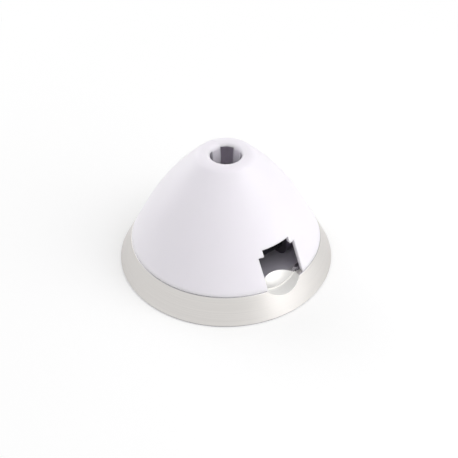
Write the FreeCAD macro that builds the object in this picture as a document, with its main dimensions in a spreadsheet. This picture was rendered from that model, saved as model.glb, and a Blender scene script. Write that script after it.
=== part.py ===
import FreeCAD, Part
import math
import os
import re
import Sketcher
from FreeCAD import Placement, Rotation, Vector

# Spinner for a two-blade folding propeller: a moulded cap with an air inlet in its nose stands on a
# turned backplate, and a forked hub inside carries the blade roots and clamps the motor shaft.
# Millimetres. The origin is the middle of the backplate's rear face, +Z runs along the spin axis to
# the nose, and the blades leave along +Y and -Y.

SIZES = [
    # the outer cone, shared by the backplate and the cap
    ("ring_radius", 21.0, "backplate radius at its rear edge"),
    ("cone_angle", 27.25, "angle between the outer cone and the spin axis, in degrees"),
    ("seam_height", 4.97, "height of the joint between backplate and cap"),
    ("joint_break", 0.12, "bevel of both outer edges at that joint"),
    ("rear_break", 0.2, "bevel of the backplate's rear edge"),
    # cap
    ("cap_wall", 0.8, "wall of the cap, square to its surface"),
    ("cone_rise", 4.03, "height of the straight cone above the joint, up to the curved nose"),
    ("cap_height", 23.7, "height of the nose above the rear face"),
    ("inlet_radius", 2.8, "radius of the air inlet in the nose"),
    ("rim_width", 2.32, "width of the nose's rim before its edges are rounded"),
    ("lip_depth", 1.15, "depth of the inlet's rim"),
    ("lip_outer_round", 1.9, "rounding from the nose into the rim"),
    ("lip_inner_round", 1.05, "rounding from the rim into the inlet"),
    ("blade_count", 2, "blades, each with a cut-out, a hollow and a fork"),
    # blade cut-outs in the cap
    ("cutout_half_width", 4.2, "half the width of a blade cut-out"),
    ("cutout_rise", 5.7, "height of the cut-out's wide part above the joint"),
    ("notch_half_width", 3.08, "half the width of the notch above it"),
    ("notch_rise", 6.82, "height of the notch's top above the joint"),
    # screw well under the inlet
    ("well_radius", 2.4, "radius of the screw well at its floor"),
    ("well_wall", 1.0, "wall of the screw well"),
    ("well_floor_thickness", 1.25, "floor that the cap screw presses on"),
    ("window_count", 4, "air windows round the screw well"),
    ("window_angle", 51.0, "width of one window, in degrees"),
    ("window_place", 42.5, "angle from the blade axis to the middle of a window"),
    ("window_drop", 0.62, "depth of the windows' upper edge under the nose"),
    ("window_sill", 1.0, "height of the windows' lower edge above the well's floor"),
    # backplate
    ("web_thickness", 2.6, "thickness of the backplate's web"),
    ("rim_wall", 1.8, "width of the rim, level with the rear face"),
    ("rear_step", 0.6, "depth of the middle below the rim's rear face"),
    ("middle_radius", 10.4, "radius of the backplate's thick middle"),
    ("register_height", 0.7, "height of the ring that centres the cap"),
    ("register_width", 0.9, "width of that ring"),
    ("air_inner_margin", 0.5, "web between the thick middle and the air openings"),
    ("air_outer_margin", 0.85, "web between the air openings and the ring that centres the cap"),
    ("air_start_angle", 33.0, "angle from the blade axis to an air opening"),
    ("air_end_angle", 84.0, "angle from the blade axis to its other end"),
    # hollows for the pitched blade shanks: a flat-ended bore from the side and a ball cutter's dip
    ("hollow_aside", -0.7, "place of the hollows beside the blade axis"),
    ("hollow_bore", 5.36, "radius of the bore from the side"),
    ("hollow_bore_depth", 4.15, "depth of the bore from the ring's rear edge"),
    ("hollow_bore_rise", 3.78, "height of the bore's axis above the joint"),
    ("hollow_ball", 5.4, "cutter radius of the dip beyond the bore"),
    ("hollow_ball_inset", 3.0, "distance of the dip's centre inside the ring"),
    ("hollow_ball_rise", 3.98, "height of the dip's centre above the joint"),
    # hub
    ("spigot_radius", 6.0, "spigot of the hub in the backplate's bore"),
    ("lug_radius", 2.0, "rounded end of a hub lug on the backplate"),
    ("lug_thickness", 2.2, "thickness of a lug"),
    ("hub_height", 6.0, "height of the hub above the backplate"),
    ("pivot_inset", 8.04, "distance of a blade pivot inside the joint of backplate and cap"),
    ("cheek_radius", 2.83, "radius of a fork cheek's end, and its pivot's height"),
    ("blade_root_width", 8.0, "width of the blade root that the fork takes"),
    ("blade_play", 0.1, "clearance on each side of the blade root"),
    ("cheek_thickness", 1.8, "thickness of a fork cheek"),
    ("root_clearance", 4.2, "distance from a pivot to the fork's floor"),
    # collet
    ("shaft_radius", 2.0, "radius of the motor shaft"),
    ("shaft_depth", 8.6, "depth of the shaft bore"),
    ("taper_rear_radius", 4.6, "large end of the collet's taper"),
    ("taper_front_radius", 3.6, "small end of the collet's taper"),
    ("taper_length", 7.6, "length of the collet's taper"),
    ("collet_thread_radius", 3.0, "radius of the collet's thread"),
    ("collet_proud", 0.5, "thread that stands out of the collet nut"),
    ("slit_width", 0.5, "width of the collet's slits"),
    ("slit_length", 6.8, "length of the collet's slits"),
    ("tapped_depth", 5.0, "depth of the tapped hole for the cap screw"),
    # fasteners
    ("washer_radius", 5.0, "radius of the washer under the collet nut"),
    ("washer_thickness", 0.5, "thickness of that washer"),
    ("nut_across_flats", 10.0, "collet nut across its flats"),
    ("nut_height", 3.0, "height of the collet nut"),
    ("cap_screw_radius", 1.25, "thread radius of the cap screw"),
    ("cap_screw_head_radius", 2.25, "head radius of the cap screw"),
    ("cap_screw_head_height", 2.5, "head height of the cap screw"),
    ("cap_screw_length", 6.0, "length of the cap screw under its head"),
    ("cap_screw_socket", 2.0, "hexagon socket of the cap screw, across its flats"),
    ("pivot_radius", 1.5, "radius of a blade pivot screw"),
    ("pivot_head_radius", 2.5, "head radius of a pivot screw"),
    ("pivot_head_height", 1.8, "head height of a pivot screw"),
    ("pivot_socket", 2.0, "hexagon socket of a pivot screw, across its flats"),
    ("pivot_nut_across", 5.5, "pivot nut across its flats"),
    ("pivot_nut_height", 1.8, "height of a pivot nut"),
    ("plate_screw_radius", 1.0, "thread radius of a backplate screw"),
    ("plate_screw_head", 1.9, "head radius of a backplate screw"),
    ("plate_screw_grip", 2.0, "length of a backplate screw in its lug"),
    ("plate_screw_place", 8.0, "distance of a backplate screw from the axis"),
    ("plate_screw_socket", 1.3, "hexagon socket of a backplate screw, across its flats"),
    # clearances
    ("fit_gap", 0.02, "radial gap of a close fit"),
    ("register_gap", 0.08, "gap between the cap and the ring that centres it"),
    ("screw_gap", 0.1, "radial gap round a screw in a plain hole"),
    ("cap_gap", 0.15, "gap between the screw well and the collet"),
]

# Places worked out from the sheet, written as expressions over its aliases.
SLOPE = "tan(cone_angle * 1deg)"
LEAN = "cos(cone_angle * 1deg)"
DIP = "sin(cone_angle * 1deg)"
SEAM_RADIUS = f"(ring_radius - {SLOPE} * seam_height)"
WALL_ACROSS = f"(cap_wall / {LEAN})"
CONE_TOP = "(seam_height + cone_rise)"
CONE_TOP_RADIUS = f"(ring_radius - {SLOPE} * {CONE_TOP})"
NOSE_EDGE = "(inlet_radius + rim_width)"
# The nose's outline is one arc that leaves the cone smoothly and ends at the rim's edge.
REACH = f"({CONE_TOP_RADIUS} - {NOSE_EDGE})"
CLIMB = f"(cap_height - {CONE_TOP})"
NOSE_CURVE = f"(({REACH}^2 + {CLIMB}^2) / (2 * ({REACH} * {LEAN} - {CLIMB} * {DIP})))"
CURVE_ACROSS = f"({CONE_TOP_RADIUS} - {NOSE_CURVE} * {LEAN})"
CURVE_UP = f"({CONE_TOP} - {NOSE_CURVE} * {DIP})"
INNER_CURVE = f"({NOSE_CURVE} - cap_wall)"
LIP_UNDERSIDE = "(cap_height - lip_depth)"
WINDOW_TOP = "(cap_height - window_drop)"
RECESS_HEIGHT = "(seam_height - web_thickness)"
LUG_TOP = "(seam_height + lug_thickness)"
PIVOT_PLACE = f"({SEAM_RADIUS} - pivot_inset)"
PIVOT_HEIGHT = "(seam_height + cheek_radius)"
SLOT_HALF = "(blade_root_width / 2 + blade_play)"
CHEEK_OUTER = f"({SLOT_HALF} + cheek_thickness)"
HUB_TOP = "(seam_height + hub_height)"
NUT_SEAT = f"({HUB_TOP} + washer_thickness)"
TAPER_TOP = "(rear_step + taper_length)"
COLLET_TOP = f"({NUT_SEAT} + nut_height + collet_proud)"
WELL_BOTTOM = f"({COLLET_TOP} + cap_gap)"
WELL_FLOOR = f"({WELL_BOTTOM} + well_floor_thickness)"
REGISTER_RADIUS = f"({SEAM_RADIUS} - {WALL_ACROSS} - register_gap)"
BEYOND = "(ring_radius * 2)"

NAMES = {name for name, _, _ in SIZES}
doc = FreeCAD.newDocument("propeller_spinner")
pieces = []


def make_sheet():
    sheet = doc.addObject("Spreadsheet::Sheet", "Sizes")
    for row, (name, size, meaning) in enumerate(SIZES, start=1):
        sheet.set(f"A{row}", name)
        sheet.set(f"B{row}", str(size))
        sheet.setAlias(f"B{row}", name)
        sheet.set(f"C{row}", meaning)
    doc.recompute()
    return sheet


def bound(text):
    """The expression with each alias written as a cell of the sheet."""
    return re.sub(r"[a-z_]+", lambda word: f"Sizes.{word[0]}" if word[0] in NAMES else word[0], text)


def size_of(text):
    return float(sheet.evalExpression(bound(text)))


def bind(thing, **sizes):
    for name, text in sizes.items():
        thing.setExpression(name, bound(text))


def new_body(name):
    body = doc.addObject("PartDesign::Body", name)
    body.Label = name
    return body


def new_sketch(body, role, name, lift=None, aside=None):
    """A sketch on one of the body's origin planes, lifted square to it or moved aside if asked."""
    sketch = body.newObject("Sketcher::SketchObject", name)
    plane = next(item for item in body.Origin.OriginFeatures if item.Role == role)
    sketch.AttachmentSupport = [(plane, "")]
    sketch.MapMode = "FlatFace"
    if lift:
        sketch.setExpression("AttachmentOffset.Base.z", bound(lift))
    if aside:
        sketch.setExpression("AttachmentOffset.Base.x", bound(aside))
    doc.recompute()
    return sketch


def constrain(sketch, kind, places, text):
    number = sketch.addConstraint(Sketcher.Constraint(kind, *places, size_of(text)))
    sketch.setExpression(f"Constraints[{number}]", bound(text))


def arc_between(start, end, radius, side):
    """The short arc from start to end, its middle on the left (1) or the right (-1) of the way."""
    chord = end - start
    left = Vector(-chord.y, chord.x, 0) / chord.Length
    rise = math.sqrt(max(radius**2 - chord.Length**2 / 4, 0))
    middle = (start + end) / 2 + left * rise * side
    first, last = (start, end) if side > 0 else (end, start)
    angles = [math.atan2(point.y - middle.y, point.x - middle.x) for point in (first, last)]
    return Part.ArcOfCircle(Part.Circle(middle, Vector(0, 0, 1), radius), *angles)


def draw(sketch, corners):
    """A closed outline through corners (across, up), all bound to the sheet.

    A corner with two more items starts an arc of that radius, turning left (1) or right (-1).
    """
    points = [Vector(size_of(corner[0]), size_of(corner[1]), 0) for corner in corners]
    edges = []
    for number, corner in enumerate(corners):
        start, end = points[number], points[(number + 1) % len(points)]
        if len(corner) == 2:
            edges.append((sketch.addGeometry(Part.LineSegment(start, end)), 1, 2))
        else:
            edge = sketch.addGeometry(arc_between(start, end, size_of(corner[2]), corner[3]))
            edges.append((edge, 1, 2) if corner[3] > 0 else (edge, 2, 1))
            constrain(sketch, "Radius", (edge,), corner[2])
    for number, (edge, start, end) in enumerate(edges):
        following, its_start, _ = edges[(number + 1) % len(edges)]
        sketch.addConstraint(Sketcher.Constraint("Coincident", edge, end, following, its_start))
        constrain(sketch, "DistanceX", (-1, 1, edge, start), corners[number][0])
        constrain(sketch, "DistanceY", (-1, 1, edge, start), corners[number][1])


def draw_circle(sketch, across, up, radius):
    middle = Vector(size_of(across), size_of(up), 0)
    edge = sketch.addGeometry(Part.Circle(middle, Vector(0, 0, 1), size_of(radius)))
    constrain(sketch, "Radius", (edge,), radius)
    constrain(sketch, "DistanceX", (-1, 1, edge, 3), across)
    constrain(sketch, "DistanceY", (-1, 1, edge, 3), up)


def draw_hexagon(sketch, across_flats):
    """A hexagon about the sketch's origin with corners on its horizontal axis."""
    reach = f"{across_flats} / sqrt(3)"
    draw(sketch, [
        (f"{reach} * cos({turn} * 1deg)", f"{reach} * sin({turn} * 1deg)") for turn in range(0, 360, 60)
    ])


def spin(body, kind, sketch):
    """A Revolution or a Groove of the sketch round its upright axis."""
    feature = body.newObject(f"PartDesign::{kind}", f"{sketch.Name}_{kind}")
    feature.Profile = sketch
    feature.ReferenceAxis = (sketch, ["V_Axis"])
    feature.Angle = 360
    doc.recompute()
    return feature


def pad(body, sketch, length, both_ways=False):
    feature = body.newObject("PartDesign::Pad", f"{sketch.Name}_Pad")
    feature.Profile = sketch
    bind(feature, Length=length)
    feature.SideType = "Symmetric" if both_ways else "One side"
    doc.recompute()
    return feature


def pocket(body, sketch, length, both_ways=False, reversed_way=False):
    """A cut from the sketch: against its normal, along it if reversed, or evenly both ways."""
    before = body.Shape.Volume
    feature = body.newObject("PartDesign::Pocket", f"{sketch.Name}_Pocket")
    feature.Profile = sketch
    bind(feature, Length=length)
    feature.SideType = "Symmetric" if both_ways else "One side"
    feature.Reversed = reversed_way
    doc.recompute()
    if not body.Shape.Volume < before:
        raise RuntimeError(f"{feature.Name} cuts nothing")
    return feature


def repeat(body, features, count):
    """The features repeated evenly round the spin axis."""
    pattern = body.newObject("PartDesign::PolarPattern", f"{features[0].Name}_round")
    pattern.Originals = features
    axis = next(item for item in body.Origin.OriginFeatures if item.Role == "Z_Axis")
    pattern.Axis = (axis, [""])
    pattern.Angle = 360
    bind(pattern, Occurrences=count)
    body.Tip = pattern
    doc.recompute()


def finish(piece):
    pieces.append(piece)


def make_backplate():
    """Turned plate: conical rim, web with a recess behind, thick middle, ring that centres the cap."""
    body = new_body("backplate")
    register_top = "(seam_height + register_height)"
    bore = "(spigot_radius + fit_gap)"
    section = new_sketch(body, "XZ_Plane", "plate_section")
    draw(section, [
        (bore, "rear_step"),
        ("middle_radius", "rear_step"),
        ("middle_radius", RECESS_HEIGHT),
        (f"ring_radius - rim_wall - {SLOPE} * {RECESS_HEIGHT}", RECESS_HEIGHT),
        ("ring_radius - rim_wall", "0"),
        ("ring_radius - rear_break", "0"),
        (f"ring_radius - {SLOPE} * rear_break", "rear_break"),
        (f"{SEAM_RADIUS} + {SLOPE} * joint_break", "seam_height - joint_break"),
        (f"{SEAM_RADIUS} - joint_break", "seam_height"),
        (REGISTER_RADIUS, "seam_height"),
        (f"{REGISTER_RADIUS} - {SLOPE} * register_height", register_top),
        (f"{REGISTER_RADIUS} - register_width", register_top),
        (f"{REGISTER_RADIUS} - register_width", "seam_height"),
        (bore, "seam_height"),
    ])
    spin(body, "Revolution", section)

    air = new_sketch(body, "XY_Plane", "air_openings", "seam_height")
    air_inner = "(middle_radius + air_inner_margin)"
    air_outer = f"({REGISTER_RADIUS} - register_width - air_outer_margin)"
    for across, along in ((1, 1), (-1, 1), (-1, -1), (1, -1)):
        turning = across * along
        places = [
            (air_inner, "air_start_angle"),
            (air_outer, "air_start_angle"),
            (air_outer, "air_end_angle"),
            (air_inner, "air_end_angle"),
        ]
        corners = [
            (f"{across} * {radius} * sin({angle} * 1deg)", f"{along} * {radius} * cos({angle} * 1deg)")
            for radius, angle in places
        ]
        corners[1] += (air_outer, -turning)
        corners[3] += (air_inner, turning)
        draw(air, corners)
    pocket(body, air, "seam_height")

    bore_end = "(ring_radius - hollow_bore_depth)"
    side_bore = new_sketch(body, "XZ_Plane", "hollow_bore", bore_end, "hollow_aside")
    draw_circle(side_bore, "0", "seam_height + hollow_bore_rise", "hollow_bore")
    bore_cut = pocket(body, side_bore, "hollow_bore_depth", reversed_way=True)
    ball_middle = "(ring_radius - hollow_ball_inset)"
    dip = new_sketch(body, "XZ_Plane", "hollow_dip", ball_middle, "hollow_aside")
    height = "(seam_height + hollow_ball_rise)"
    draw(dip, [
        ("0", f"{height} - hollow_ball", "hollow_ball", 1),
        ("hollow_ball", height, "hollow_ball", 1),
        ("0", f"{height} + hollow_ball"),
    ])
    repeat(body, [bore_cut, spin(body, "Groove", dip)], "blade_count")

    hole = "(plate_screw_radius + screw_gap)"
    countersink = new_sketch(body, "XZ_Plane", "screw_holes", aside="plate_screw_place")
    draw(countersink, [
        ("0", "rear_step"),
        ("plate_screw_head", "rear_step"),
        (hole, f"rear_step + plate_screw_head - {hole}"),
        (hole, "seam_height"),
        ("0", "seam_height"),
    ])
    repeat(body, [spin(body, "Groove", countersink)], "blade_count")
    finish(body)


def make_cap():
    """Moulded cap: cone and curved nose of even wall, blade cut-outs, and a screw well with windows."""
    body = new_body("spinner_cap")
    inner_at_lip = f"({CURVE_ACROSS} + sqrt({INNER_CURVE}^2 - ({LIP_UNDERSIDE} - {CURVE_UP})^2))"
    section = new_sketch(body, "XZ_Plane", "cap_section")
    draw(section, [
        (f"{SEAM_RADIUS} - joint_break", "seam_height"),
        (f"{SEAM_RADIUS} - {SLOPE} * joint_break", "seam_height + joint_break"),
        (CONE_TOP_RADIUS, CONE_TOP, NOSE_CURVE, 1),
        (NOSE_EDGE, "cap_height"),
        ("inlet_radius", "cap_height"),
        ("inlet_radius", LIP_UNDERSIDE),
        (inner_at_lip, LIP_UNDERSIDE, INNER_CURVE, -1),
        (f"{CONE_TOP_RADIUS} - cap_wall * {LEAN}", f"{CONE_TOP} - cap_wall * {DIP}"),
        (f"{SEAM_RADIUS} - {WALL_ACROSS}", "seam_height"),
    ])
    spin(body, "Revolution", section)

    cutout_top = "(seam_height + cutout_rise)"
    notch_top = "(seam_height + notch_rise)"
    cutouts = new_sketch(body, "XZ_Plane", "blade_cutouts")
    draw(cutouts, [
        ("-cutout_half_width", "0"),
        ("cutout_half_width", "0"),
        ("cutout_half_width", cutout_top),
        ("notch_half_width", cutout_top),
        ("notch_half_width", notch_top),
        ("-notch_half_width", notch_top),
        ("-notch_half_width", cutout_top),
        ("-cutout_half_width", cutout_top),
    ])
    pocket(body, cutouts, BEYOND, both_ways=True)

    well = new_sketch(body, "XZ_Plane", "screw_well")
    screw_hole = "(cap_screw_radius + screw_gap)"
    draw(well, [
        ("inlet_radius", LIP_UNDERSIDE),
        ("well_radius", WELL_FLOOR),
        (screw_hole, WELL_FLOOR),
        (screw_hole, WELL_BOTTOM),
        ("well_radius + well_wall", WELL_BOTTOM),
        ("inlet_radius + well_wall", LIP_UNDERSIDE),
    ])
    spin(body, "Revolution", well)

    for radius, rounding in ((NOSE_EDGE, "lip_outer_round"), ("inlet_radius", "lip_inner_round")):
        base = body.Tip
        edge = rim_edge(base.Shape, size_of(radius), size_of("cap_height"))
        fillet = body.newObject("PartDesign::Fillet", rounding)
        fillet.Base = (base, [edge])
        bind(fillet, Radius=rounding)
        doc.recompute()

    window = new_sketch(body, "XY_Plane", "air_window", WINDOW_TOP)
    reach = "(inlet_radius + well_wall + screw_gap)"
    sides = [f"(90 - window_place {sign} window_angle / 2) * 1deg" for sign in "-+"]
    (start, start_up), (end, end_up) = [(f"{reach} * cos({a})", f"{reach} * sin({a})") for a in sides]
    draw(window, [("0", "0"), (start, start_up, reach, 1), (end, end_up)])
    window_depth = f"{WINDOW_TOP} - {WELL_FLOOR} - window_sill"
    repeat(body, [pocket(body, window, window_depth)], "window_count")
    finish(body)


def rim_edge(shape, radius, height):
    """The name of the round edge with this radius at this height."""
    for number, edge in enumerate(shape.Edges, start=1):
        curve = edge.Curve
        if isinstance(curve, Part.Circle) and abs(curve.Radius - radius) + abs(curve.Center.z - height) < 1e-4:
            return f"Edge{number}"
    raise RuntimeError(f"no edge of radius {radius} at {height}")


def make_hub():
    """Milled hub: a spigot and two lugs on the backplate, a fork at each end, a tapered bore."""
    body = new_body("blade_hub")
    turned = new_sketch(body, "XZ_Plane", "hub_turned")
    draw(turned, [
        ("0", "rear_step"),
        ("spigot_radius", "rear_step"),
        ("spigot_radius", HUB_TOP),
        ("0", HUB_TOP),
    ])
    spin(body, "Revolution", turned)

    lugs = new_sketch(body, "XY_Plane", "lugs", "seam_height")
    draw(lugs, [
        ("-plate_screw_place", "-lug_radius"),
        ("plate_screw_place", "-lug_radius", "lug_radius", 1),
        ("plate_screw_place + lug_radius", "0", "lug_radius", 1),
        ("plate_screw_place", "lug_radius"),
        ("-plate_screw_place", "lug_radius", "lug_radius", 1),
        ("-plate_screw_place - lug_radius", "0", "lug_radius", 1),
    ])
    pad(body, lugs, "lug_thickness")

    cheek_top = f"({PIVOT_HEIGHT} + cheek_radius)"
    forks = new_sketch(body, "YZ_Plane", "forks")
    draw(forks, [
        (f"-{PIVOT_PLACE}", "seam_height"),
        (PIVOT_PLACE, "seam_height", "cheek_radius", 1),
        (f"{PIVOT_PLACE} + cheek_radius", PIVOT_HEIGHT, "cheek_radius", 1),
        (PIVOT_PLACE, cheek_top),
        (f"-{PIVOT_PLACE}", cheek_top, "cheek_radius", 1),
        (f"-{PIVOT_PLACE} - cheek_radius", PIVOT_HEIGHT, "cheek_radius", 1),
    ])
    pad(body, forks, f"2 * {CHEEK_OUTER}", both_ways=True)

    slot = new_sketch(body, "XY_Plane", "root_slot", "seam_height")
    slot_floor = f"({PIVOT_PLACE} - root_clearance)"
    draw(slot, [
        (f"-{SLOT_HALF}", slot_floor),
        (SLOT_HALF, slot_floor),
        (SLOT_HALF, "ring_radius"),
        (f"-{SLOT_HALF}", "ring_radius"),
    ])
    slot_cut = pocket(body, slot, BEYOND, reversed_way=True)
    pivot = new_sketch(body, "YZ_Plane", "pivot_hole")
    draw_circle(pivot, PIVOT_PLACE, PIVOT_HEIGHT, "pivot_radius + fit_gap")
    pivot_cut = pocket(body, pivot, BEYOND, both_ways=True)
    repeat(body, [slot_cut, pivot_cut], "blade_count")

    thread_hole = new_sketch(body, "XZ_Plane", "plate_screw_thread", aside="plate_screw_place")
    draw(thread_hole, [
        ("0", "seam_height"),
        ("plate_screw_radius + fit_gap", "seam_height"),
        ("plate_screw_radius + fit_gap", LUG_TOP),
        ("0", LUG_TOP),
    ])
    repeat(body, [spin(body, "Groove", thread_hole)], "blade_count")

    bore = new_sketch(body, "XZ_Plane", "tapered_bore")
    draw(bore, [
        ("0", "rear_step"),
        ("taper_rear_radius + fit_gap", "rear_step"),
        ("taper_front_radius + fit_gap", TAPER_TOP),
        ("taper_front_radius + fit_gap", HUB_TOP),
        ("0", HUB_TOP),
    ])
    spin(body, "Groove", bore)
    finish(body)


def make_collet():
    """Slit taper collet with a threaded front end that is tapped for the cap screw."""
    body = new_body("shaft_collet")
    section = new_sketch(body, "XZ_Plane", "collet_section")
    tapped = "(cap_screw_radius + fit_gap)"
    draw(section, [
        ("shaft_radius", "rear_step"),
        ("taper_rear_radius", "rear_step"),
        ("taper_front_radius", TAPER_TOP),
        ("collet_thread_radius", TAPER_TOP),
        ("collet_thread_radius", COLLET_TOP),
        (tapped, COLLET_TOP),
        (tapped, f"{COLLET_TOP} - tapped_depth"),
        ("0", f"{COLLET_TOP} - tapped_depth"),
        ("0", "rear_step + shaft_depth"),
        ("shaft_radius", "rear_step + shaft_depth"),
    ])
    spin(body, "Revolution", section)
    for role, name in (("XZ_Plane", "slit_along"), ("YZ_Plane", "slit_across")):
        slit = new_sketch(body, role, name)
        draw(slit, [
            ("-slit_width / 2", "0"),
            ("slit_width / 2", "0"),
            ("slit_width / 2", "rear_step + slit_length"),
            ("-slit_width / 2", "rear_step + slit_length"),
        ])
        pocket(body, slit, BEYOND, both_ways=True)
    finish(body)


def make_washer():
    body = new_body("collet_washer")
    section = new_sketch(body, "XZ_Plane", "washer_section")
    draw(section, [
        ("collet_thread_radius + screw_gap", HUB_TOP),
        ("washer_radius", HUB_TOP),
        ("washer_radius", NUT_SEAT),
        ("collet_thread_radius + screw_gap", NUT_SEAT),
    ])
    spin(body, "Revolution", section)
    finish(body)


def make_nut(name, across_flats, height, hole):
    """Hexagon nut on the floor of its own frame, its corners turned off at both faces."""
    body = new_body(name)
    hexagon = new_sketch(body, "XY_Plane", f"{name}_hexagon")
    draw_hexagon(hexagon, across_flats)
    pad(body, hexagon, height)
    bore = new_sketch(body, "XY_Plane", f"{name}_bore", height)
    draw_circle(bore, "0", "0", hole)
    pocket(body, bore, height)
    corner = f"({across_flats} / sqrt(3))"
    face = f"({across_flats} / 2 * 0.97)"
    drop = f"(({corner} - {face}) / 2)"
    bevels = new_sketch(body, "XZ_Plane", f"{name}_bevels")
    draw(bevels, [(face, "0"), (f"{corner} * 1.1", "0"), (f"{corner} * 1.1", f"{drop} * 1.4")])
    draw(bevels, [
        (face, height),
        (f"{corner} * 1.1", f"{height} - {drop} * 1.4"),
        (f"{corner} * 1.1", height),
    ])
    spin(body, "Groove", bevels)
    finish(body)
    return body


def make_socket_screw(name, head_radius, head_height, radius, length, socket):
    """Cylinder-head screw along +Z with its head's underside at the floor of its own frame."""
    body = new_body(name)
    bevel = f"({head_radius} * 0.1)"
    section = new_sketch(body, "XZ_Plane", f"{name}_section")
    draw(section, [
        ("0", f"-({length})"),
        (f"{radius} - {bevel}", f"-({length})"),
        (radius, f"{bevel} - ({length})"),
        (radius, "0"),
        (head_radius, "0"),
        (head_radius, f"{head_height} - {bevel}"),
        (f"{head_radius} - {bevel}", head_height),
        ("0", head_height),
    ])
    spin(body, "Revolution", section)
    hexagon = new_sketch(body, "XY_Plane", f"{name}_socket", head_height)
    draw_hexagon(hexagon, socket)
    pocket(body, hexagon, f"{head_height} / 2")
    finish(body)
    return body


def make_plate_screw(name):
    """Countersunk screw along +Z with its head's top at the floor of its own frame."""
    body = new_body(name)
    section = new_sketch(body, "XZ_Plane", f"{name}_section")
    draw(section, [
        ("0", "0"),
        ("plate_screw_head", "0"),
        ("plate_screw_radius", "plate_screw_head - plate_screw_radius"),
        ("plate_screw_radius", "seam_height - rear_step + plate_screw_grip"),
        ("0", "seam_height - rear_step + plate_screw_grip"),
    ])
    spin(body, "Revolution", section)
    hexagon = new_sketch(body, "XY_Plane", f"{name}_socket")
    draw_hexagon(hexagon, "plate_screw_socket")
    pocket(body, hexagon, "plate_screw_head / 2", reversed_way=True)
    finish(body)
    return body


def place(piece, across, along, up, rotation=Rotation()):
    """Moves a piece to its seat; the place stays bound to the sheet."""
    piece.Placement = Placement(Vector(), rotation)
    for axis, text in zip("xyz", (across, along, up)):
        piece.setExpression(f"Placement.Base.{axis}", bound(text))
    doc.recompute()


def write_pieces():
    for item in doc.Objects:
        if "Invalid" in item.State or "Error" in item.State:
            raise RuntimeError(f"{item.Name}: {item.State}")
    os.makedirs("parts", exist_ok=True)
    for piece in pieces:
        shape = piece.Shape
        if shape.isNull() or not shape.isValid() or len(shape.Solids) != 1:
            raise RuntimeError(f"{piece.Label} is not one sound solid")
        shape.exportStep(f"parts/{piece.Label}.step")
        print(f"{piece.Label}: {shape.Volume:.1f} mm3")


def main():
    make_backplate()
    make_cap()
    make_hub()
    make_collet()
    make_washer()
    place(make_nut("collet_nut", "nut_across_flats", "nut_height", "collet_thread_radius + fit_gap"),
          "0", "0", NUT_SEAT)
    place(make_socket_screw("cap_screw", "cap_screw_head_radius", "cap_screw_head_height",
                            "cap_screw_radius", "cap_screw_length", "cap_screw_socket"),
          "0", "0", WELL_FLOOR)
    sideways = Rotation(Vector(0, 1, 0), 90) * Rotation(Vector(0, 0, 1), 90)
    for side, sign in (("front", "-"), ("rear", "")):
        screw = make_socket_screw(f"pivot_screw_{side}", "pivot_head_radius", "pivot_head_height",
                                  "pivot_radius", f"2 * {CHEEK_OUTER} + pivot_nut_height", "pivot_socket")
        place(screw, CHEEK_OUTER, f"{sign}{PIVOT_PLACE}", PIVOT_HEIGHT, sideways)
        nut = make_nut(f"pivot_nut_{side}", "pivot_nut_across", "pivot_nut_height",
                       "pivot_radius + fit_gap")
        place(nut, f"-{CHEEK_OUTER} - pivot_nut_height", f"{sign}{PIVOT_PLACE}", PIVOT_HEIGHT, sideways)
    for side, sign in (("left", "-"), ("right", "")):
        place(make_plate_screw(f"plate_screw_{side}"), f"{sign}plate_screw_place", "0", "rear_step")
    write_pieces()


sheet = make_sheet()
main()
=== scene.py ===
import math

import bpy
from bpy.props import FloatProperty, FloatVectorProperty, PointerProperty
from bpy.types import Operator, Panel, PropertyGroup
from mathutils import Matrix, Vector


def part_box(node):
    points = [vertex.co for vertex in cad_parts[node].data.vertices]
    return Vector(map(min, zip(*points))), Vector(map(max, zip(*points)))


bl_info = {
    "name": "Propeller spinner",
    "version": (1, 0, 0),
    "blender": (4, 5, 0),
    "location": "View3D > Sidebar > Spinner",
    "description": "Finishes a moulded spinner cap on a turned aluminium backplate and lights it",
    "category": "Object",
}

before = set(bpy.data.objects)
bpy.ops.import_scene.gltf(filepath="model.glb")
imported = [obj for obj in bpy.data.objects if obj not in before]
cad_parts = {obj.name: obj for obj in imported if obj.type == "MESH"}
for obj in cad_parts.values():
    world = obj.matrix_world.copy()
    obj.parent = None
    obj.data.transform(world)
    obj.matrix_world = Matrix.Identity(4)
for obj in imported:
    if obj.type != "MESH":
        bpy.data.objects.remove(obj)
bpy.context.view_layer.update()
MM = 0.001


def node_box(name):
    low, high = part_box(name)
    return Vector(low), Vector(high)


PLATE_LOW, PLATE_HIGH = node_box("backplate")
CAP_LOW, CAP_HIGH = node_box("spinner_cap")
RING_RADIUS = PLATE_HIGH.x
CAP_RADIUS = CAP_HIGH.x
SEAM_HEIGHT = CAP_LOW.z

# a hair's breadth, which keeps a mask clear of the face that it ends on
HAIR = 0.02 * MM

# the milled hollows: radius, height of the axis over the seam, place beside the blade's axis, start
# of the rounded end, and the ridge between the bore from the side and the ball cutter's dip
HOLLOW_RADIUS = 5.42 * MM
HOLLOW_RISE = 3.8 * MM
HOLLOW_ASIDE = 0.7 * MM
HOLLOW_END = 17.4 * MM
HOLLOW_RIDGE = 16.85 * MM

# the painted shade line under the seam, which stands for the shade in the joint: where it starts and is
# full, and how far it goes in under the cap
SEAM_LINE_START = SEAM_HEIGHT - 0.12 * MM
SEAM_LINE_FULL = SEAM_HEIGHT - 0.04 * MM
SEAM_LINE_INSIDE = CAP_RADIUS - 0.15 * MM

# the painted shade line round the rear edge, which stands for the shadowed table seen in its bevel: where
# it starts and is full, and how far in from the rim
REAR_LINE_START = PLATE_LOW.z + 0.22 * MM
REAR_LINE_FULL = PLATE_LOW.z + 0.1 * MM
REAR_LINE_INSIDE = RING_RADIUS - 0.11 * MM

# the face under the cap, with a matt finish and a painted shade: the radius at which it starts, and at
# which it is full
DULL_SHADED_START = CAP_RADIUS - 1.0 * MM
DULL_SHADED_FULL = CAP_RADIUS - 3.0 * MM

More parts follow.
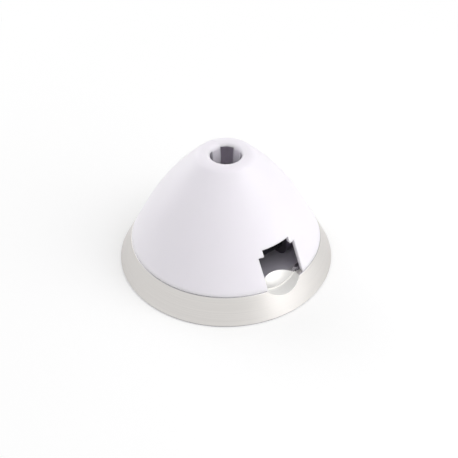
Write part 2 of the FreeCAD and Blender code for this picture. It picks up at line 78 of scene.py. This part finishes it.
# where the ring that centres the cap has fully risen from the face
CENTRING_FULL = SEAM_HEIGHT + 0.06 * MM


def linear(code):
    """The linear colour of an sRGB hex code."""
    shades = [int(code[start:start + 2], 16) / 255 for start in (1, 3, 5)]
    return tuple(s / 12.92 if s <= 0.04045 else ((s + 0.055) / 1.055) ** 2.4 for s in shades)


def colour(name, code, description):
    return FloatVectorProperty(
        name=name, description=description, subtype="COLOR", size=3, min=0.0, max=1.0,
        default=linear(code)
    )


def length(name, default, description):
    return FloatProperty(
        name=name, description=description, subtype="DISTANCE", unit="LENGTH", default=default, min=0.0
    )


def lamp_power(name, default):
    return FloatProperty(
        name=name, description=f"Power of the {name.lower()} in watts", unit="POWER",
        default=default, min=0.0
    )


# ---------------------------------------------------------------- settings

class SpinnerCapSettings(PropertyGroup):
    outside: colour("Cap", "#F2EEF9", "Colour of the moulded cap")
    roughness: FloatProperty(name="Roughness", description="Sheen of the moulded skin", subtype="FACTOR",
                             default=0.36, min=0.0, max=1.0)
    glow_depth: length("Glow depth", 0.75 * MM, "How far light travels inside the plastic")
    soft_edge: length("Soft edge", 0.07 * MM, "Radius that catches the light on moulded edges")
    skin_grain: length("Skin grain", 0.35 * MM, "Size of the unevenness of the moulded skin")


class SpinnerMetalSettings(PropertyGroup):
    aluminium: colour("Aluminium", "#D9D6D3", "Colour of the turned aluminium")
    # partly painted light: the hollows' pale colour is partly the cutter's finish and partly stands for
    # the bright light that they catch
    milled: colour("Milled hollows", "#F6F5F2", "Colour of the hollows left by the cutter")
    # painted shade: the darker, lilac colour of the face under the cap stands for the shade of the cap
    # over it
    shaded: colour("Covered face", "#C2BFC8", "Colour of the dull face under the cap")
    # painted reflection: the centring ring's dark colour stands for the shaded inside of the cap mirrored
    # in it
    centring_reflection: colour("Centring ring", "#8A878C", "Colour of the smooth ring that centres the cap")
    # painted shade: the edge lines stand for the shade in the seam and the shadowed table seen in the
    # rear bevel
    edge_shade: colour("Edge line", "#98969B", "Colour of the dark lines on the ring's two edges")
    anodised: colour("Anodised", "#75727A", "Colour of the black anodised hub")
    steel: colour("Steel", "#B9B8B4", "Colour of the turned steel collet")
    zinc: colour("Zinc", "#C7C6C0", "Colour of the zinc-plated nuts and washer")
    oxide: colour("Black oxide", "#26262A", "Colour of the blackened screws")
    lathe_pitch: length("Lathe feed", 0.16 * MM,
                        "Spacing of the turning marks, coarser than real so that they show")
    metal_grain: length("Metal grain", 0.2 * MM, "Size of the unevenness of the hub and the fasteners")


class SpinnerStageSettings(PropertyGroup):
    table: colour("Table", "#F4F4F4", "Colour of the table")
    key_power: lamp_power("Key lamp", 0.39)
    fill_power: lamp_power("Fill lamp", 0.34)
    strip_power: lamp_power("Low strip lamp", 0.14)
    sky: FloatProperty(name="Sky", description="Strength of the even light from all round",
                       default=0.7, min=0.0)
    lens: FloatProperty(name="Lens", description="Focal length in millimetres", unit="CAMERA",
                        default=66.45, min=1.0)


# ---------------------------------------------------------------- node helpers

def add_node(tree, kind, links=None, **settings):
    """Adds a node, sets its attributes and sockets, and links its inputs.

    A setting that names an attribute sets it; the others, and the links, name input sockets, with
    spaces written as underscores, or give their number after an s, as s0.
    """
    node = tree.nodes.new(kind)
    for name, value in settings.items():
        if hasattr(node, name):
            setattr(node, name, value)
        else:
            find_socket(node, name).default_value = value
    for name, source in (links or {}).items():
        tree.links.new(source, find_socket(node, name))
    return node


def find_socket(node, name):
    if name[0] == "s" and name[1:].isdigit():
        return node.inputs[int(name[1:])]
    return node.inputs[name.replace("_", " ")]


def new_material(name):
    material = bpy.data.materials.new(name)
    material.use_nodes = True
    material.node_tree.nodes.clear()
    return material, material.node_tree


def finish_material(tree, shader):
    add_node(tree, "ShaderNodeOutputMaterial", {"Surface": shader.outputs[0]})


def seen_directly(tree):
    """One where a surface is seen by the eye, in a reflection or through glass, else nought."""
    rays = add_node(tree, "ShaderNodeLightPath")
    looked_at = add_node(tree, "ShaderNodeMath",
                         {"s0": rays.outputs["Is Camera Ray"], "s1": rays.outputs["Is Glossy Ray"]},
                         operation="MAXIMUM")
    return add_node(tree, "ShaderNodeMath",
                    {"s0": looked_at.outputs[0], "s1": rays.outputs["Is Transmission Ray"]},
                    operation="MAXIMUM").outputs[0]


def rgba(shade):
    return (*shade, 1.0)


def mix_colours(tree, share, first, second):
    """Colour first, going over to the plain colour second by the share."""
    return add_node(tree, "ShaderNodeMix", {"s0": share, "s6": first}, data_type="RGBA",
                    s7=rgba(second)).outputs[2]


def dress(node_names, material):
    for name in node_names:
        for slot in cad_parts[name].material_slots:
            slot.material = material


# ---------------------------------------------------------------- materials

def moulded_plastic(settings):
    """Moulded white polyamide: a waxy skin, soft sheen, and thin walls that let some light through."""
    material, tree = new_material("moulded_white_polyamide")
    place = add_node(tree, "ShaderNodeTexCoord")
    grain = add_node(tree, "ShaderNodeTexNoise", {"Vector": place.outputs["Object"]},
                     Scale=1 / settings.skin_grain, Detail=2.0)
    edge = add_node(tree, "ShaderNodeBevel", samples=4, Radius=settings.soft_edge)
    bump = add_node(tree, "ShaderNodeBump", {"Height": grain.outputs["Fac"], "Normal": edge.outputs[0]},
                    Strength=0.04, Distance=0.02 * MM)
    shader = add_node(tree, "ShaderNodeBsdfPrincipled", {"Normal": bump.outputs["Normal"]},
                      Base_Color=rgba(settings.outside), Roughness=settings.roughness, IOR=1.5,
                      Subsurface_Weight=1.0, Subsurface_Radius=(1.0, 1.0, 1.0),
                      Subsurface_Scale=settings.glow_depth)
    finish_material(tree, shader)
    return material


def turned_aluminium(settings):
    """Bare turned aluminium with milled hollows.

    The lathe leaves fine broken lines round the axis, which draw reflections out sideways. The
    cutter leaves the hollows rougher, and the face under the cap is matt; both scatter light widely,
    which a lower metallic value stands for. The hollows' paler colour is partly the cutter's finish
    and partly painted light for the bright light that they catch. The face under the cap is painted
    darker as shade from the cap over it. The ring that centres the cap is smooth, and its dark colour
    is a painted reflection of the shaded inside of the cap. The ring's seam and rear edge hold
    painted shade lines, for the shade in the joint and the shadowed table seen in the rear bevel.
    """
    material, tree = new_material("turned_aluminium")
    place = add_node(tree, "ShaderNodeTexCoord").outputs["Object"]
    parts = add_node(tree, "ShaderNodeSeparateXYZ", {"Vector": place})
    height = parts.outputs["Z"]
    flat = add_node(tree, "ShaderNodeCombineXYZ",
                    {"X": parts.outputs["X"], "Y": parts.outputs["Y"]}).outputs[0]
    radius = add_node(tree, "ShaderNodeVectorMath", {"s0": flat}, operation="LENGTH").outputs["Value"]

    marks = lathe_marks(tree, flat, radius, height, settings.lathe_pitch)
    milled = milled_hollows(tree, parts)
    bore = bores_from_the_side(tree, parts)
    covered = face_under_cap(tree, height, radius)
    raised = add_node(tree, "ShaderNodeMapRange", {"Value": height},
                      From_Min=SEAM_HEIGHT + HAIR, From_Max=CENTRING_FULL).outputs[0]
    edges = painted_edge_shade(tree, height, radius)

    shade = add_node(tree, "ShaderNodeMapRange", {"Value": marks}, From_Min=0.3, From_Max=0.7,
                     To_Min=0.9, To_Max=1.0)
    turned = add_node(tree, "ShaderNodeVectorMath", {"Scale": shade.outputs[0]}, operation="SCALE",
                      s0=settings.aluminium)
    # painted shade: the face under the cap is darkened for the shade of the cap over it
    base = mix_colours(tree, covered, turned.outputs[0], settings.shaded)
    # painted reflection: the centring ring is darkened for the shaded inside of the cap that it mirrors
    base = mix_colours(tree, raised, base, settings.centring_reflection)
    # partly painted light: the hollows are paler, partly from the cutter's finish and partly for the
    # bright light that they catch
    base = mix_colours(tree, milled, base, settings.milled)
    # painted shade: dark lines in the seam and round the rear edge
    base = mix_colours(tree, edges, base, settings.edge_shade)

    # roughness: along the lathe lines, on the dull face, on the centring ring, then in the hollows,
    # whose dips have a finer cut than the bores
    rough = add_node(tree, "ShaderNodeMapRange", {"Value": marks}, From_Min=0.3, From_Max=0.7,
                     To_Min=0.3, To_Max=0.46)
    rough = add_node(tree, "ShaderNodeMapRange", {"Value": covered, "To Min": rough.outputs[0]},
                     To_Max=0.75)
    rough = add_node(tree, "ShaderNodeMapRange", {"Value": raised, "To Min": rough.outputs[0]},
                     To_Max=0.2)
    cut = add_node(tree, "ShaderNodeMapRange", {"Value": bore}, To_Min=0.56, To_Max=0.7)
    rough = add_node(tree, "ShaderNodeMapRange",
                     {"Value": milled, "To Min": rough.outputs[0], "To Max": cut.outputs[0]})

    # metallic: lower where the surface scatters, most of all in the bores
    scatter = add_node(tree, "ShaderNodeMapRange", {"Value": bore}, To_Min=0.9, To_Max=0.1)
    metallic = add_node(tree, "ShaderNodeMapRange", {"Value": covered}, To_Min=1.0, To_Max=0.6)
    metallic = add_node(tree, "ShaderNodeMapRange",
                        {"Value": milled, "To Min": metallic.outputs[0], "To Max": scatter.outputs[0]})

    bump = add_node(tree, "ShaderNodeBump", {"Height": marks}, Strength=0.3, Distance=0.02 * MM)
    tangent = add_node(tree, "ShaderNodeTangent", direction_type="RADIAL", axis="Z")
    shader = add_node(tree, "ShaderNodeBsdfPrincipled",
                      {"Base Color": base, "Normal": bump.outputs["Normal"],
                       "Roughness": rough.outputs[0], "Tangent": tangent.outputs[0],
                       "Metallic": metallic.outputs[0]},
                      Anisotropic=0.5)
    finish_material(tree, shader)
    return material


def lathe_marks(tree, flat, radius, height, pitch):
    """The lathe's lines, one each pitch along the surface and broken up slowly round the axis."""
    around = add_node(tree, "ShaderNodeVectorMath", {"s0": flat}, operation="NORMALIZE")
    across = add_node(tree, "ShaderNodeMath", {"s0": radius, "s1": height}, operation="SUBTRACT")
    feed = add_node(tree, "ShaderNodeCombineXYZ", {"Z": across.outputs[0]})
    lines = add_node(tree, "ShaderNodeVectorMath", {"s0": feed.outputs[0]}, operation="SCALE",
                     Scale=1 / pitch)
    broken = add_node(tree, "ShaderNodeVectorMath", {"s0": around.outputs[0], "s1": lines.outputs[0]},
                      operation="ADD")
    return add_node(tree, "ShaderNodeTexNoise", {"Vector": broken.outputs[0]},
                    Scale=1.0, Detail=3.0, Roughness=0.7).outputs["Fac"]


def milled_hollows(tree, parts):
    """One on the two hollows under the blade cut-outs, else nought.

    The second hollow is the first one turned by half a turn, so its place aside is mirrored.
    """
    half_turn = add_node(tree, "ShaderNodeMath", {"s0": parts.outputs["Y"]}, operation="SIGN")
    aside = add_node(tree, "ShaderNodeMath", {"s0": half_turn.outputs[0]}, operation="MULTIPLY",
                     s1=-HOLLOW_ASIDE)
    x = add_node(tree, "ShaderNodeMath", {"s0": parts.outputs["X"], "s1": aside.outputs[0]},
                 operation="ADD")
    z = add_node(tree, "ShaderNodeMath", {"s0": parts.outputs["Z"]}, operation="SUBTRACT",
                 s1=SEAM_HEIGHT + HOLLOW_RISE)
    out = add_node(tree, "ShaderNodeMath", {"s0": parts.outputs["Y"]}, operation="ABSOLUTE")
    short = add_node(tree, "ShaderNodeMath", {"s1": out.outputs[0]}, operation="SUBTRACT", s0=HOLLOW_END)
    inward = add_node(tree, "ShaderNodeMath", {"s0": short.outputs[0]}, operation="MAXIMUM", s1=0.0)
    from_axis = add_node(tree, "ShaderNodeCombineXYZ",
                         {"X": x.outputs[0], "Y": inward.outputs[0], "Z": z.outputs[0]})
    distance = add_node(tree, "ShaderNodeVectorMath", {"s0": from_axis.outputs[0]}, operation="LENGTH")
    near = add_node(tree, "ShaderNodeMath", {"s0": distance.outputs["Value"]}, operation="LESS_THAN",
                    s1=HOLLOW_RADIUS)
    low = add_node(tree, "ShaderNodeMath", {"s0": parts.outputs["Z"]}, operation="LESS_THAN",
                   s1=SEAM_HEIGHT - HAIR)
    return add_node(tree, "ShaderNodeMath", {"s0": near.outputs[0], "s1": low.outputs[0]},
                    operation="MULTIPLY").outputs[0]


def bores_from_the_side(tree, parts):
    """One outside the hollows' ridges, where the bores are, and nought inside, where the dips are."""
    out = add_node(tree, "ShaderNodeMath", {"s0": parts.outputs["Y"]}, operation="ABSOLUTE")
    return add_node(tree, "ShaderNodeMapRange", {"Value": out.outputs[0]},
                    From_Min=HOLLOW_RIDGE - 0.1 * MM, From_Max=HOLLOW_RIDGE + 0.05 * MM).outputs[0]


def face_under_cap(tree, height, radius):
    """One on the backplate's face inside the cap, else nought."""
    high = add_node(tree, "ShaderNodeMath", {"s0": height}, operation="GREATER_THAN",
                    s1=SEAM_HEIGHT - HAIR)
    inner = add_node(tree, "ShaderNodeMapRange", {"Value": radius}, From_Min=DULL_SHADED_START,
                     From_Max=DULL_SHADED_FULL)
    return add_node(tree, "ShaderNodeMath", {"s0": high.outputs[0], "s1": inner.outputs[0]},
                    operation="MULTIPLY").outputs[0]


def painted_edge_shade(tree, height, radius):
    """One on the painted shade lines at the seam and round the rear edge, else nought."""
    lines = []
    for start, full, inside in ((SEAM_LINE_START, SEAM_LINE_FULL, SEAM_LINE_INSIDE),
                                (REAR_LINE_START, REAR_LINE_FULL, REAR_LINE_INSIDE)):
        level = add_node(tree, "ShaderNodeMapRange", {"Value": height}, From_Min=start, From_Max=full)
        outside = add_node(tree, "ShaderNodeMath", {"s0": radius}, operation="GREATER_THAN", s1=inside)
        lines.append(add_node(tree, "ShaderNodeMath", {"s0": level.outputs[0], "s1": outside.outputs[0]},
                              operation="MULTIPLY").outputs[0])
    seam, rear = lines
    return add_node(tree, "ShaderNodeMath", {"s0": seam, "s1": rear}, operation="MAXIMUM").outputs[0]


def metal(name, shade, roughness, grain_size):
    """A metal as a plating bath or a tool leaves it, with a slightly uneven sheen and surface."""
    spread = 0.06
    material, tree = new_material(name)
    place = add_node(tree, "ShaderNodeTexCoord")
    grain = add_node(tree, "ShaderNodeTexNoise", {"Vector": place.outputs["Object"]},
                     Scale=1 / grain_size, Detail=3.0)
    rough = add_node(tree, "ShaderNodeMapRange", {"Value": grain.outputs["Fac"]},
                     From_Min=0.3, From_Max=0.7, To_Min=roughness - spread, To_Max=roughness + spread)
    bump = add_node(tree, "ShaderNodeBump", {"Height": grain.outputs["Fac"]}, Strength=0.2,
                    Distance=0.01 * MM)
    shader = add_node(tree, "ShaderNodeBsdfPrincipled",
                      {"Roughness": rough.outputs["Result"], "Normal": bump.outputs["Normal"]},
                      Base_Color=rgba(shade), Metallic=1.0)
    finish_material(tree, shader)
    return material


def white_table(shade):
    """Matt white laminate, lifted to white near the part and plain white away from it.

    The lift and the plain white are only for what is seen directly: the part is lit by the bare
    laminate, and its shadow stays on it.
    """
    lift = 0.13
    shadow_reach, plain_from = 45 * MM, 120 * MM
    material, tree = new_material("white_table")
    matt = add_node(tree, "ShaderNodeBsdfDiffuse", Color=rgba(shade))
    glow = add_node(tree, "ShaderNodeEmission", Color=rgba((1, 1, 1)), Strength=lift)
    both = add_node(tree, "ShaderNodeAddShader", {"s0": matt.outputs[0], "s1": glow.outputs[0]})
    place = add_node(tree, "ShaderNodeTexCoord")
    away = add_node(tree, "ShaderNodeVectorMath", {"s0": place.outputs["Object"]}, operation="LENGTH")
    far = add_node(tree, "ShaderNodeMapRange", {"Value": away.outputs["Value"]},
                   From_Min=shadow_reach, From_Max=plain_from)
    white = add_node(tree, "ShaderNodeEmission", Color=rgba((1, 1, 1)), Strength=1.0)
    looked_at = add_node(tree, "ShaderNodeMixShader",
                         {"s0": far.outputs[0], "s1": both.outputs[0], "s2": white.outputs[0]})
    shader = add_node(tree, "ShaderNodeMixShader",
                      {"s0": seen_directly(tree), "s1": matt.outputs[0], "s2": looked_at.outputs[0]})
    finish_material(tree, shader)
    return material


# ---------------------------------------------------------------- operators

class SPINNER_OT_cap(Operator):
    """Finish the moulded cap"""

    bl_idname = "spinner.cap"
    bl_label = "Cap"

    def execute(self, context):
        dress(["spinner_cap"], moulded_plastic(context.scene.spinner_cap))
        return {"FINISHED"}


class SPINNER_OT_backplate(Operator):
    """Finish the turned backplate"""

    bl_idname = "spinner.backplate"
    bl_label = "Backplate"

    def execute(self, context):
        dress(["backplate"], turned_aluminium(context.scene.spinner_metal))
        return {"FINISHED"}


class SPINNER_OT_hub(Operator):
    """Finish the hub, the collet and the fasteners"""

    bl_idname = "spinner.hub"
    bl_label = "Hub and fasteners"

    def execute(self, context):
        settings = context.scene.spinner_metal
        nuts = ["collet_washer", "collet_nut", "pivot_nut_front", "pivot_nut_rear"]
        screws = ["cap_screw", "pivot_screw_front", "pivot_screw_rear", "plate_screw_left",
                  "plate_screw_right"]
        finishes = (
            (["blade_hub"], "black_anodised_aluminium", settings.anodised, 0.45),
            (["shaft_collet"], "turned_steel", settings.steel, 0.3),
            (nuts, "zinc_plated_steel", settings.zinc, 0.35),
            (screws, "black_oxide_steel", settings.oxide, 0.4),
        )
        for node_names, name, shade, roughness in finishes:
            dress(node_names, metal(name, shade, roughness, settings.metal_grain))
        return {"FINISHED"}


class SPINNER_OT_stage(Operator):
    """Set the table, the lamps and the camera"""

    bl_idname = "spinner.stage"
    bl_label = "Table, lamps and camera"

    table_reach = 3.0
    # the camera's angles in degrees, its distance, and the point that it looks at
    azimuth = -38.0
    elevation = 40.2
    distance = 0.1654
    target = Vector((0.000454, -0.000355, 0.005593))
    # each lamp: name, setting for its power, metres to the right of, beyond and above the part's
    # middle as the camera sees it, and its size
    lamps = (
        ("key_lamp", "key_power", (0.24, -0.06, 0.27), (0.26, 0.26)),
        ("fill_lamp", "fill_power", (-0.25, 0.22, 0.08), (0.3, 0.3)),
        ("strip_lamp", "strip_power", (0.26, -0.1, 0.04), (0.3, 0.07)),
    )

    def execute(self, context):
        settings = context.scene.spinner_stage
        self.add_table(context.scene, settings)
        turn = math.radians(self.azimuth)
        right = Vector((math.cos(turn), math.sin(turn), 0))
        ahead = Vector((-math.sin(turn), math.cos(turn), 0))
        up = Vector((0, 0, 1))
        middle = (CAP_LOW + CAP_HIGH) / 2
        for name, power, (to_right, beyond, above), size in self.lamps:
            place = middle + to_right * right + beyond * ahead + above * up
            self.add_lamp(context.scene, name, place, middle, size, getattr(settings, power))
        self.add_sky(context.scene, settings)
        self.add_camera(context.scene, settings)
        context.scene.view_settings.view_transform = "Standard"
        return {"FINISHED"}

    def add_table(self, scene, settings):
        """A flat table a hair below the rear face, so that the two don't fight from below."""
        reach = self.table_reach
        low = PLATE_LOW.z - HAIR
        mesh = bpy.data.meshes.new("table")
        corners = [(-reach, -reach, low), (reach, -reach, low), (reach, reach, low), (-reach, reach, low)]
        mesh.from_pydata(corners, [], [(0, 1, 2, 3)])
        mesh.materials.append(white_table(settings.table))
        table = bpy.data.objects.new("table", mesh)
        scene.collection.objects.link(table)

    def add_lamp(self, scene, name, place, target, size, power):
        light = bpy.data.lights.new(name, "AREA")
        light.shape = "RECTANGLE"
        light.size, light.size_y = size
        light.energy = power
        lamp = bpy.data.objects.new(name, light)
        scene.collection.objects.link(lamp)
        lamp.location = place
        lamp.rotation_euler = (target - place).to_track_quat("-Z", "Y").to_euler()

    def add_sky(self, scene, settings):
        """Even light from all round, which is plain white where it is seen directly."""
        world = bpy.data.worlds.new("sky")
        world.use_nodes = True
        tree = world.node_tree
        tree.nodes.clear()
        even = add_node(tree, "ShaderNodeBackground", Color=rgba((1, 1, 1)), Strength=settings.sky)
        white = add_node(tree, "ShaderNodeBackground", Color=rgba((1, 1, 1)), Strength=1.0)
        both = add_node(tree, "ShaderNodeMixShader",
                        {"s0": seen_directly(tree), "s1": even.outputs[0], "s2": white.outputs[0]})
        add_node(tree, "ShaderNodeOutputWorld", {"Surface": both.outputs[0]})
        scene.world = world

    def add_camera(self, scene, settings):
        turn = math.radians(self.azimuth)
        tilt = math.radians(self.elevation)
        away = math.sin(turn) * math.cos(tilt), -math.cos(turn) * math.cos(tilt), math.sin(tilt)
        lens = bpy.data.cameras.new("camera")
        lens.sensor_width = 36.0
        lens.lens = settings.lens
        lens.clip_start = 0.01
        lens.clip_end = 10.0
        camera = bpy.data.objects.new("camera", lens)
        scene.collection.objects.link(camera)
        camera.location = self.target + self.distance * Vector(away)
        camera.rotation_euler = (self.target - camera.location).to_track_quat("-Z", "Y").to_euler()
        scene.camera = camera


class SPINNER_PT_panel(Panel):
    bl_label = "Propeller spinner"
    bl_space_type = "VIEW_3D"
    bl_region_type = "UI"
    bl_category = "Spinner"

    def draw(self, context):
        layout = self.layout
        for operator in OPERATORS:
            layout.operator(operator.bl_idname)
        for name in SETTINGS:
            settings = getattr(context.scene, name)
            box = layout.box()
            for field in type(settings).__annotations__:
                box.prop(settings, field)


SETTINGS = {
    "spinner_cap": SpinnerCapSettings,
    "spinner_metal": SpinnerMetalSettings,
    "spinner_stage": SpinnerStageSettings,
}
OPERATORS = (SPINNER_OT_cap, SPINNER_OT_backplate, SPINNER_OT_hub, SPINNER_OT_stage)


def register():
    for item in (*SETTINGS.values(), *OPERATORS, SPINNER_PT_panel):
        bpy.utils.register_class(item)
    for name, group in SETTINGS.items():
        setattr(bpy.types.Scene, name, PointerProperty(type=group))


def unregister():
    for name in SETTINGS:
        delattr(bpy.types.Scene, name)
    for item in reversed((*SETTINGS.values(), *OPERATORS, SPINNER_PT_panel)):
        bpy.utils.unregister_class(item)


def main():
    register()
    bpy.ops.spinner.cap()
    bpy.ops.spinner.backplate()
    bpy.ops.spinner.hub()
    bpy.ops.spinner.stage()


if __name__ == "__main__":
    main()
